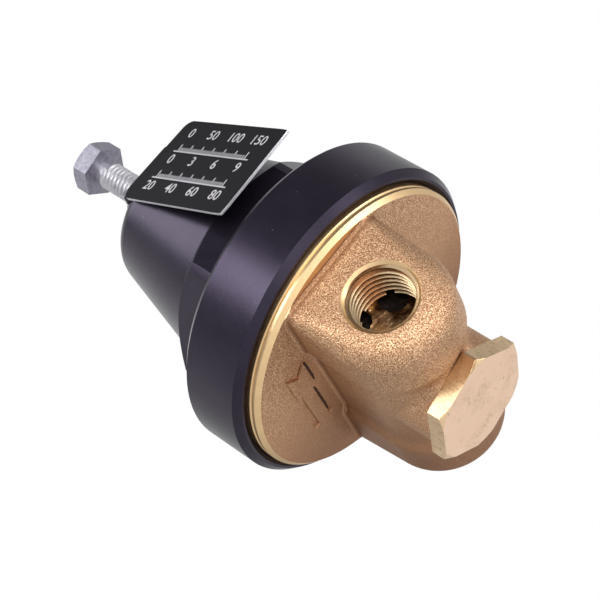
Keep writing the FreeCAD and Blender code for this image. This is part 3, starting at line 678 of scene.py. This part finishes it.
INSIDE = {
    FIBRE: ("plug_gasket", "cylinder_gasket", "diaphragm_gasket"),
    STEEL: ("inlet_screen", "seat_disc_screw", "pusher_post", "slip_ring", "pressure_plate",
            "diaphragm_nut", "spring_button"),
    RUBBER: ("seat_disc", "diaphragm"),
    WIRE: ("piston_spring", "range_spring"),
    FACED: ("seat_cylinder", "piston", "diaphragm_washer"),
}
for finish, names in INSIDE.items():
    for name in names:
        nodes[name].data.materials.clear()
        nodes[name].data.materials.append(finish.material)


# The adjusting screw, its lock nut and washer are zinc-plated steel, gone dull everywhere but on the
# shank. The screw's thread is a wound ridge on a core, and its head is a six-sided bar with its
# corners turned off.
ZINC = Finish("zinc_plate")
plating = ZINC.noise(0.6, 3, 0.6)
spangle = ZINC.ramp(ZINC.noise(1.2, 3), 0.3, 0.7)
ZINC.dress(Base_Color=ZINC.mix(spangle, (0.50, 0.49, 0.53), (0.66, 0.65, 0.68)),
           Metallic=1.0, Roughness=plating * 0.25 + 0.34, Normal=ZINC.bump(plating, 0.03))
SCREW_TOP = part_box("adjusting_screw")[1].z
SCREW_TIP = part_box("adjusting_screw")[0].z
HEAD_LOW = SCREW_TOP - 4.0 * MM
HEAD_FLATS = 10.0 * MM
HEAD_TURN = 50
CORNER_SLOPE = math.radians(30)
CORE_RADIUS = 2.55


def straight_bar(name, sides, radius, low, high, turn=0.0):
    """A bar with flat or round sides between two heights on the valve axis."""
    bpy.ops.object.select_all(action="DESELECT")
    bpy.ops.mesh.primitive_cylinder_add(vertices=sides, radius=radius, depth=high - low,
                                        location=(AXIS_X, 0, (low + high) / 2),
                                        rotation=(0, 0, math.radians(turn)))
    bar = bpy.context.object
    bar.name = name
    bpy.ops.object.transform_apply()
    return bar


corner_radius = HEAD_FLATS / 2 / math.cos(math.radians(30))
head = straight_bar("screw_head", 6, corner_radius, HEAD_LOW, SCREW_TOP, HEAD_TURN)
tool_height = SCREW_TOP - HEAD_LOW
face_radius = HEAD_FLATS / 2 * 0.985
bpy.ops.object.select_all(action="DESELECT")
bpy.ops.mesh.primitive_cone_add(vertices=96, radius1=face_radius + tool_height / math.tan(CORNER_SLOPE),
                                radius2=face_radius, depth=tool_height,
                                location=(AXIS_X, 0, (HEAD_LOW + SCREW_TOP) / 2))
cut_with(head, bpy.context.object, "INTERSECT")
bpy.ops.object.mode_set(mode="EDIT")
bpy.ops.mesh.select_all(action="SELECT")
bpy.ops.mesh.remove_doubles(threshold=WELD)
flatten_faces()
bpy.ops.object.mode_set(mode="OBJECT")
soften(head, 0.1)
core = straight_bar("screw_core", 48, CORE_RADIUS * MM, SCREW_TIP, HEAD_LOW + 0.2 * MM)
soften(core, 0.3)
SCREW_THREAD = [(2.45, 0.0), (2.98, 0.40), (2.98, 0.52), (2.45, 0.94)]
screw_thread = wound_thread("screw_thread", SCREW_THREAD, 1.0, turns=27, steps=32)
screw_thread.data.transform(Matrix.Translation((AXIS_X, 0, SCREW_TIP + 0.9 * MM)))
DULL = Finish("dull_zinc")
haze = DULL.noise(0.8, 3, 0.6)
DULL.dress(Base_Color=DULL.mix(DULL.ramp(haze, 0.35, 0.65), (0.25, 0.24, 0.29), (0.36, 0.345, 0.41)),
           Metallic=1.0, Roughness=haze * 0.2 + 0.36, Normal=DULL.bump(haze, 0.03))
for piece in (head, core, screw_thread):
    piece.data.materials.append(DULL.material if piece is head else ZINC.material)
    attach(piece, "screw")
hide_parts("adjusting_screw")
for name, rider in (("lock_nut", "nut"), ("lock_washer", "washer")):
    piece = merged_copy(name, 0.15)
    piece.data.materials.append(DULL.material)
    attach(piece, rider)


# The label is sheet aluminium, black enamelled on its face and bare at its cut edges, bent over the
# bonnet's top under the washer. Its plain scales are bare metal left by the enamel.
ENAMEL = Finish("black_enamel")
dust = ENAMEL.noise(0.3, 3, 0.6)
dusty = ENAMEL.ramp(dust, 0.66, 0.8)
ENAMEL.dress(Base_Color=ENAMEL.mix(dusty, (0.006, 0.0055, 0.008), (0.022, 0.021, 0.026)),
             Roughness=dust * 0.2 + 0.34, Specular_IOR_Level=0.09, Normal=ENAMEL.bump(dust, 0.006))
BARE = Finish("bare_aluminium")
BARE.dress(Base_Color=BARE.mix(BARE.noise(1.0, 3), (0.50, 0.48, 0.52), (0.70, 0.69, 0.72)), Metallic=0.7,
           Roughness=BARE.noise(0.4, 3) * 0.25 + 0.35, Normal=BARE.bump(BARE.noise(0.4, 3), 0.01))
TILT = math.radians(26)
TURN = math.radians(2)
SKEW = math.radians(-4.2)
outward = Vector((math.cos(TURN), math.sin(TURN), 0))
sideways = Vector((-math.sin(TURN), math.cos(TURN), 0))
downhill = outward * math.sin(TILT) - Vector((0, 0, 1)) * math.cos(TILT)
reading = downhill * math.cos(SKEW) - sideways * math.sin(SKEW)
upright = downhill * math.sin(SKEW) + sideways * math.cos(SKEW)
facing = reading.cross(upright).normalized()
LABEL_REACH = 14.2
LABEL_OFFSET = 3.4
LABEL_CORNER = 2.2 * MM
SQUARENESS = 0.8
label_points = [point.co for point in nodes["label_plate"].data.vertices]
FREE_END = max(spot.dot(reading) for spot in label_points)
across_end = [spot.dot(upright) for spot in label_points if spot.dot(reading) > FREE_END - 5 * MM]
label_sides = ((min(across_end), -1), (max(across_end), 1))


def squarer_corner(spot):
    """Moves the round of a corner at the label's free end most of the way out to a square corner."""
    reach = spot.dot(reading) - FREE_END + LABEL_CORNER
    for side, sign in label_sides:
        aside = (spot.dot(upright) - side) * sign + LABEL_CORNER
        if reach > 0 and aside > 0:
            push = (math.hypot(reach, aside) / max(reach, aside) - 1) * SQUARENESS
            spot += (reading * reach + upright * aside * sign) * push


label = merged_copy("label_plate", 0.08, reshape=squarer_corner)
label.data.materials.append(ENAMEL.material)
label.data.materials.append(BARE.material)
BARE_METAL = 1
for face in label.data.polygons:
    if face.normal.dot(facing) < 0.9 and face.normal.z < 0.9:
        face.material_index = BARE_METAL
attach(label, "regulator")
label_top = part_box("label_plate")[1].z
INK_HEIGHT = 0.02 * MM
BOLDNESS = 0.02 * MM
TYPE_SIZE = 1.35
on_label = Matrix((reading, upright, facing)).transposed().to_4x4()
bend = Vector((AXIS_X, 0, label_top)) + outward * LABEL_REACH * MM + sideways * LABEL_OFFSET * MM
on_label.translation = bend + facing * INK_HEIGHT
scale_pieces = []


def label_mark(along, across, width, height):
    """A bare bar on the label: along and across give its centre from the middle of the bend."""
    bpy.ops.object.select_all(action="DESELECT")
    bpy.ops.mesh.primitive_cube_add(size=1, location=(along * MM, across * MM, 0))
    mark = bpy.context.object
    mark.scale = (width * MM, height * MM, INK_HEIGHT)
    bpy.ops.object.transform_apply()
    scale_pieces.append(mark)


def label_number(text, along, across, height):
    """A plain number on the label, made a thin raised mesh."""
    bpy.ops.object.select_all(action="DESELECT")
    bpy.ops.object.text_add(location=(along * MM, across * MM, 0))
    number = bpy.context.object
    number.data.body = text
    number.data.size = height * MM * TYPE_SIZE
    number.data.align_x = "CENTER"
    number.data.align_y = "CENTER"
    number.data.extrude = INK_HEIGHT / 2
    number.data.offset = BOLDNESS
    number.data.resolution_u = 4
    bpy.ops.object.convert(target="MESH")
    bpy.ops.object.transform_apply()
    scale_pieces.append(bpy.context.object)


SCALE_START = 6.2
SCALE_LENGTH = 22.8
NUMBER_STEP = 7.6
NUMBER_HEIGHT = 2.4
BASE_LINE = 25.5
LINE_WIDTH = 0.3
TICKS = 30
NUMBERS = (
    (7.0, ("0", "50", "100", "150")),
    (0.2, ("0", "3", "6", "9")),
    (-6.6, ("20", "40", "60", "80")),
)
for across, row in NUMBERS:
    for k, text in enumerate(row):
        label_number(text, SCALE_START + NUMBER_STEP * k, across, NUMBER_HEIGHT)
for foot in (2.3, -4.5):
    label_mark(SCALE_START + SCALE_LENGTH / 2, foot, BASE_LINE, LINE_WIDTH)
    for k in range(TICKS + 1):
        tall = 1.8 if k % 5 == 0 else 1.0
        label_mark(SCALE_START + SCALE_LENGTH * k / TICKS, foot + tall / 2, LINE_WIDTH, tall)
bpy.ops.object.select_all(action="DESELECT")
for mark in scale_pieces:
    mark.select_set(True)
bpy.context.view_layer.objects.active = scale_pieces[0]
bpy.ops.object.join()
marks = bpy.context.object
marks.name = "label_marks"
marks.data.transform(on_label)
marks.data.materials.clear()
marks.data.materials.append(BARE.material)
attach(marks, "regulator")
